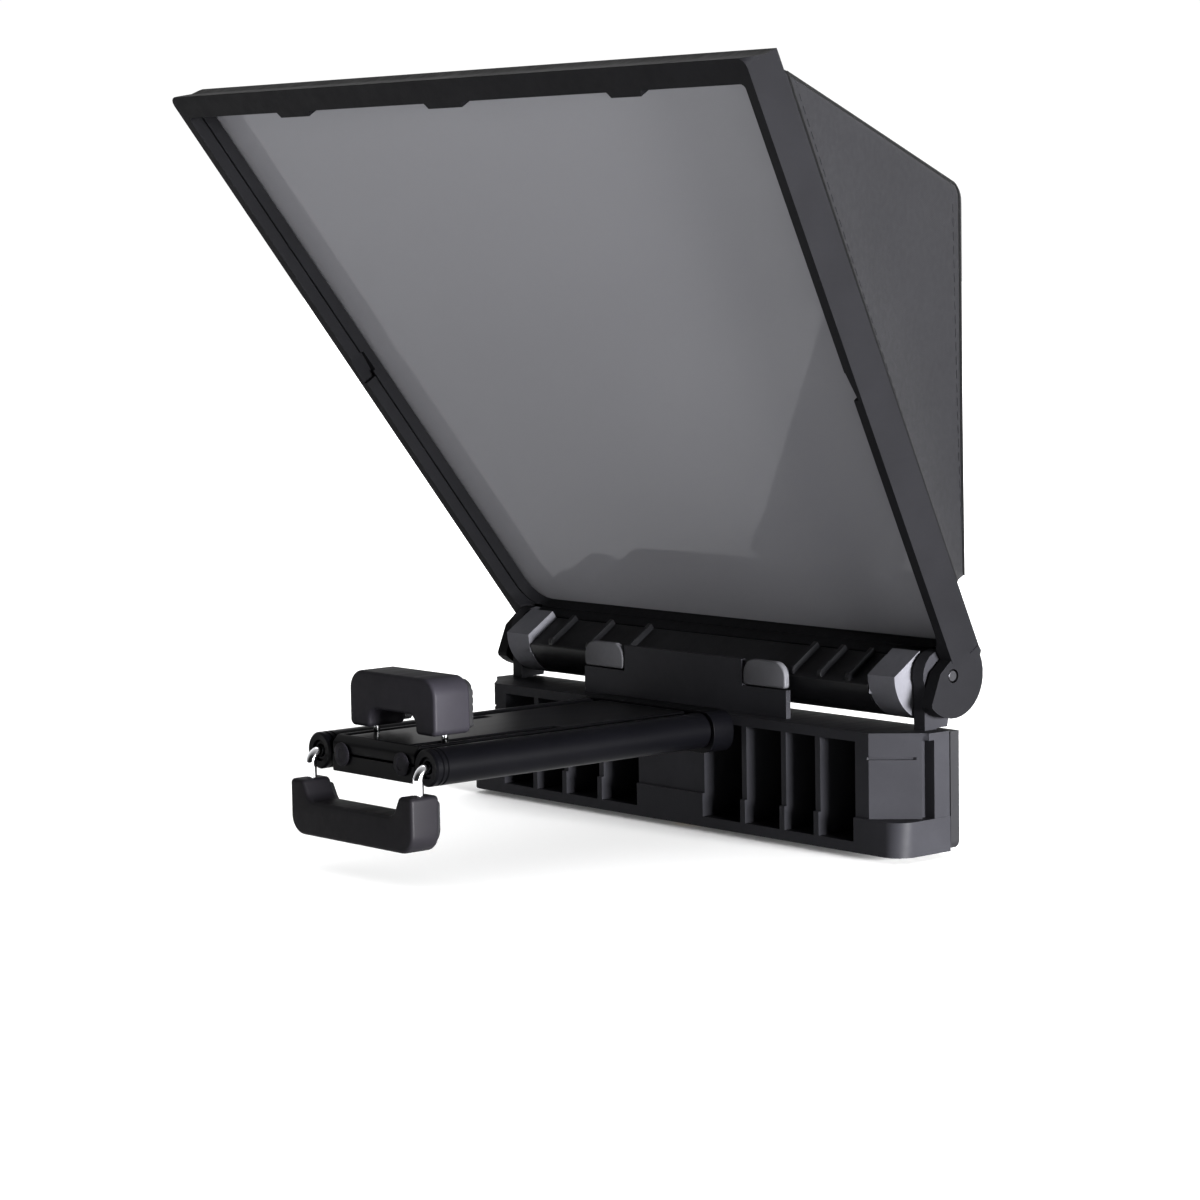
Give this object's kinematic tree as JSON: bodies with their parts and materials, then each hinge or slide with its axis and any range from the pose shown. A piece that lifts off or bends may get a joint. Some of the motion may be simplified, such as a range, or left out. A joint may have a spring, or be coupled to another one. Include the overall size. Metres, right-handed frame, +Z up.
{
  "type": "teleprompter",
  "caption": "Folding lens-mounted teleprompter: leaning beam-splitter glass in a tapered frame, cloth hood to a lens plate, and an arm with sliding jaws for a phone or tablet.",
  "frame": {"origin": "on the lens axis, at the rear face of the lens adapter ring", "axes": "+Y along the lens axis towards the camera, +Z up, +X to the right seen from in front of the glass"},
  "size_m": [0.1994, 0.1199, 0.1725],
  "materials": {
    "black_plastic": "fine moulded texture",
    "frame_plastic": "fine moulded texture, satin",
    "arm_plastic": "satin black",
    "jaw_plastic": "smooth satin",
    "ring_metal": "black anodised",
    "steel": "turned",
    "chrome": "polished",
    "brass": "turned",
    "rubber": "matte",
    "hood_cloth": "smooth coated cloth",
    "beam_glass": "half-mirror coating"
  },
  "bodies": {
    "rear_plate": {"rear_plate": "black_plastic", "lens_ring": "ring_metal", "ring_screw_1": "steel", "ring_screw_2": "steel", "ring_screw_3": "steel", "ring_screw_4": "steel", "hood_hinge_pin_left": "steel", "hood_hinge_pin_right": "steel"},
    "frame": {"glass_frame": "frame_plastic", "glass_pane": "beam_glass", "glass_retainer": "black_plastic", "ribbed_sill": "black_plastic", "sill_screw_1": "steel", "sill_screw_2": "steel", "sill_screw_3": "steel", "corner_cheek_left": "frame_plastic", "corner_cheek_right": "frame_plastic", "hood_side_left": "hood_cloth", "hood_side_right": "hood_cloth", "hood_top": "hood_cloth"},
    "base": {"base_front_shell": "black_plastic", "base_rear_cover": "black_plastic", "base_screw_1": "steel", "base_screw_2": "steel", "base_screw_3": "steel", "base_screw_4": "steel", "tripod_insert": "brass", "stop_bumper_left": "steel", "stop_bumper_right": "steel", "pivot_pin_left": "steel", "pivot_pin_right": "steel"},
    "arm": {"arm_yoke": "arm_plastic", "arm_tube_left": "arm_plastic", "arm_tube_right": "arm_plastic", "tube_bush_left": "black_plastic", "tube_bush_right": "black_plastic", "arm_spindle": "steel", "spindle_clip": "steel", "arm_lower_shell": "arm_plastic", "arm_upper_shell": "arm_plastic", "arm_boss_left": "arm_plastic", "arm_boss_right": "arm_plastic"},
    "phone_jaw": {"phone_jaw": "jaw_plastic", "phone_jaw_pad": "rubber", "phone_carriage": "black_plastic", "phone_jaw_post_left": "chrome", "phone_jaw_post_right": "chrome", "phone_jaw_spring": "steel"},
    "tablet_jaw": {"tablet_jaw": "black_plastic", "tablet_jaw_pad": "rubber", "tablet_rod_left": "chrome", "tablet_rod_right": "chrome", "rod_stop_left": "steel", "rod_stop_right": "steel", "tablet_spring_left": "steel", "tablet_spring_right": "steel"}
  },
  "joints": [
    {"name": "hood_fold", "type": "hinge", "parent": "rear_plate", "child": "frame", "pos_m": [0, -0.007, -0.04327], "axis": [-1, 0, 0], "range_deg": [0, 33], "deforming": ["hood_side_left", "hood_side_right", "hood_top"]},
    {"name": "base_fold", "type": "hinge", "parent": "frame", "child": "base", "pos_m": [0, -0.0095, -0.062], "axis": [-1, 0, 0], "range_deg": [0, 57]},
    {"name": "arm_flip", "type": "hinge", "parent": "base", "child": "arm", "pos_m": [0, -0.028, -0.078], "axis": [0, 1, 0], "range_deg": [0, 180]},
    {"name": "phone_jaw_slide", "type": "slide", "parent": "arm", "child": "phone_jaw", "axis": [0, -1, 0], "range_m": [-0.03, 0.0065], "deforming": ["phone_jaw_spring"]},
    {"name": "tablet_jaw_slide", "type": "slide", "parent": "arm", "child": "tablet_jaw", "axis": [0, -1, 0], "range_m": [0, 0.05], "stiffness_N_per_m": 150, "springref_m": -0.01, "deforming": ["tablet_spring_left", "tablet_spring_right"]}
  ]
}
